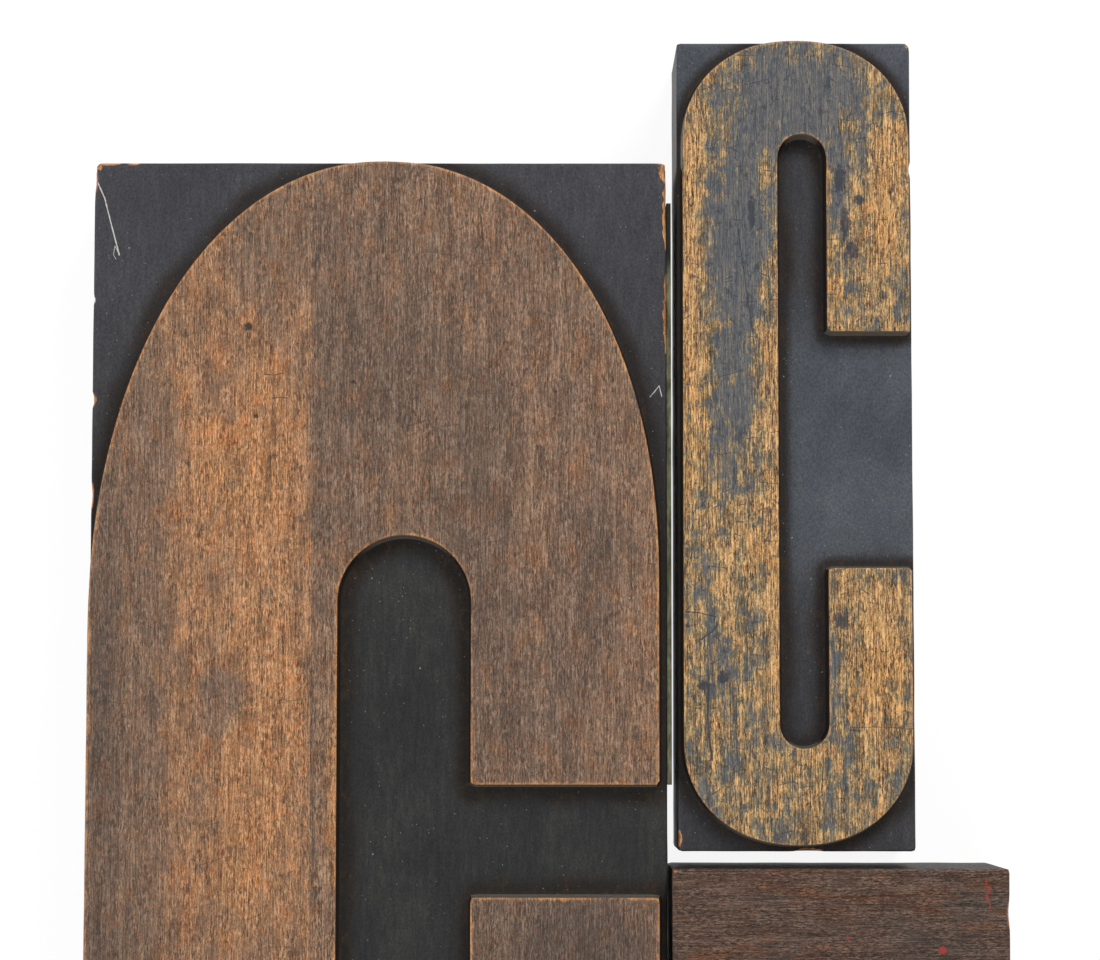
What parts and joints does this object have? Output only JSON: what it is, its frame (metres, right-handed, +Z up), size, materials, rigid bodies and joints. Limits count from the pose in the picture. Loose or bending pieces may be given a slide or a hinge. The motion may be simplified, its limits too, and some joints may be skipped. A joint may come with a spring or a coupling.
{
  "type": "wood type",
  "caption": "Wood letterpress type: a wide letter glued up from staves with a card packing strip, a narrow letter and a plain block, lying face up at type high.",
  "frame": {"origin": "middle of the set's outer box, on the surface that the blocks lie on", "axes": "+Z up from the blocks' feet to their printing faces, +Y towards the heads of the letters, +X towards the narrow letter and the plain block"},
  "size_m": [0.142, 0.23, 0.0233],
  "materials": {
    "wide_left_wood": "side-grain maple, ink-stained orange brown face, ground and sides black with old ink",
    "wide_middle_wood": "side-grain maple, duller ink-stained brown face, ground and sides black with old ink",
    "wide_right_wood": "side-grain maple, duller ink-stained brown face, ground and sides black with old ink",
    "card": "olive-grey card, darkened with ink at its upper end",
    "narrow_wood": "worn golden maple face with blue-grey ink in the grain, ground and sides black with old ink",
    "plain_wood": "dark oiled brown maple with grain across, two specks of red ink"
  },
  "bodies": {
    "wide_letter": {"wide_left_stave": "wide_left_wood", "wide_middle_stave": "wide_middle_wood", "wide_right_stave": "wide_right_wood", "side_packing_strip": "card"},
    "narrow_letter": {"narrow_letter_block": "narrow_wood"},
    "plain": {"plain_block": "plain_wood"}
  },
  "joints": [
    {"name": "narrow_lift", "type": "slide", "parent": "wide_letter", "child": "narrow_letter", "axis": [0, 0, 1], "range_m": [0, 0.05]},
    {"name": "plain_lift", "type": "slide", "parent": "wide_letter", "child": "plain", "axis": [0, 0, 1], "range_m": [0, 0.05]}
  ]
}
